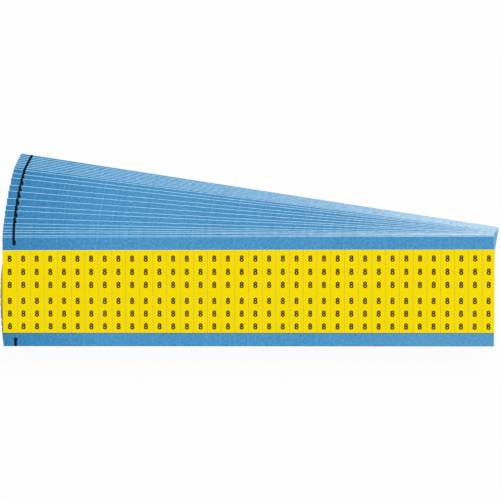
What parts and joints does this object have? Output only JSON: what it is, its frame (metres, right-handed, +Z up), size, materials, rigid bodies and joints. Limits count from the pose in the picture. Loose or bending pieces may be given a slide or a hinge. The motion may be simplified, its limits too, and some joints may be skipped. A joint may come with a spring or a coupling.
{
  "type": "wire marker card pack",
  "caption": "Hand-fanned pack of flat cable marker cards: blue paper liners, each carrying a band of kiss-cut yellow cloth strips that peel off to wrap a wire.",
  "frame": {"origin": "on the table, under the middle of the bottom card's underside", "axes": "+Z up out of the top card's printed face; +X along the top card, towards the fan's closed end; +Y across it, towards the side the fan opens to"},
  "size_m": [0.2347, 0.0904, 0.012],
  "materials": {
    "liner_paper": "satin coated blue face, white core at the cut edges",
    "marker_cloth": "vinyl-coated yellow cloth, low sheen",
    "black_ink": "matt black print"
  },
  "bodies": {
    "root": {"top_liner": "liner_paper", "marker_01": "marker_cloth", "marker_02": "marker_cloth", "marker_03": "marker_cloth", "marker_04": "marker_cloth", "marker_05": "marker_cloth", "marker_06": "marker_cloth", "marker_07": "marker_cloth", "marker_08": "marker_cloth", "marker_09": "marker_cloth", "marker_10": "marker_cloth", "marker_11": "marker_cloth", "marker_12": "marker_cloth", "marker_13": "marker_cloth", "marker_14": "marker_cloth", "marker_15": "marker_cloth", "marker_16": "marker_cloth", "marker_17": "marker_cloth", "marker_18": "marker_cloth", "marker_19": "marker_cloth", "marker_20": "marker_cloth", "marker_21": "marker_cloth", "marker_22": "marker_cloth", "marker_23": "marker_cloth", "marker_24": "marker_cloth", "marker_25": "marker_cloth", "marker_26": "marker_cloth", "marker_27": "marker_cloth", "marker_28": "marker_cloth", "marker_29": "marker_cloth", "marker_30": "marker_cloth", "marker_31": "marker_cloth", "marker_32": "marker_cloth", "marker_33": "marker_cloth", "marker_34": "marker_cloth", "marker_35": "marker_cloth", "marker_36": "marker_cloth", "card_02": "liner_paper", "card_03": "liner_paper", "card_04": "liner_paper", "card_05": "liner_paper", "card_06": "liner_paper", "card_07": "liner_paper", "card_08": "liner_paper", "card_09": "liner_paper", "card_10": "liner_paper", "card_11": "liner_paper", "card_12": "liner_paper", "card_13": "liner_paper", "card_14": "liner_paper", "card_15": "liner_paper", "card_16": "liner_paper", "card_17": "liner_paper", "card_18": "liner_paper", "card_19": "liner_paper", "card_20": "liner_paper", "card_21": "liner_paper", "card_22": "liner_paper", "card_23": "liner_paper", "card_24": "liner_paper"}
  },
  "joints": []
}
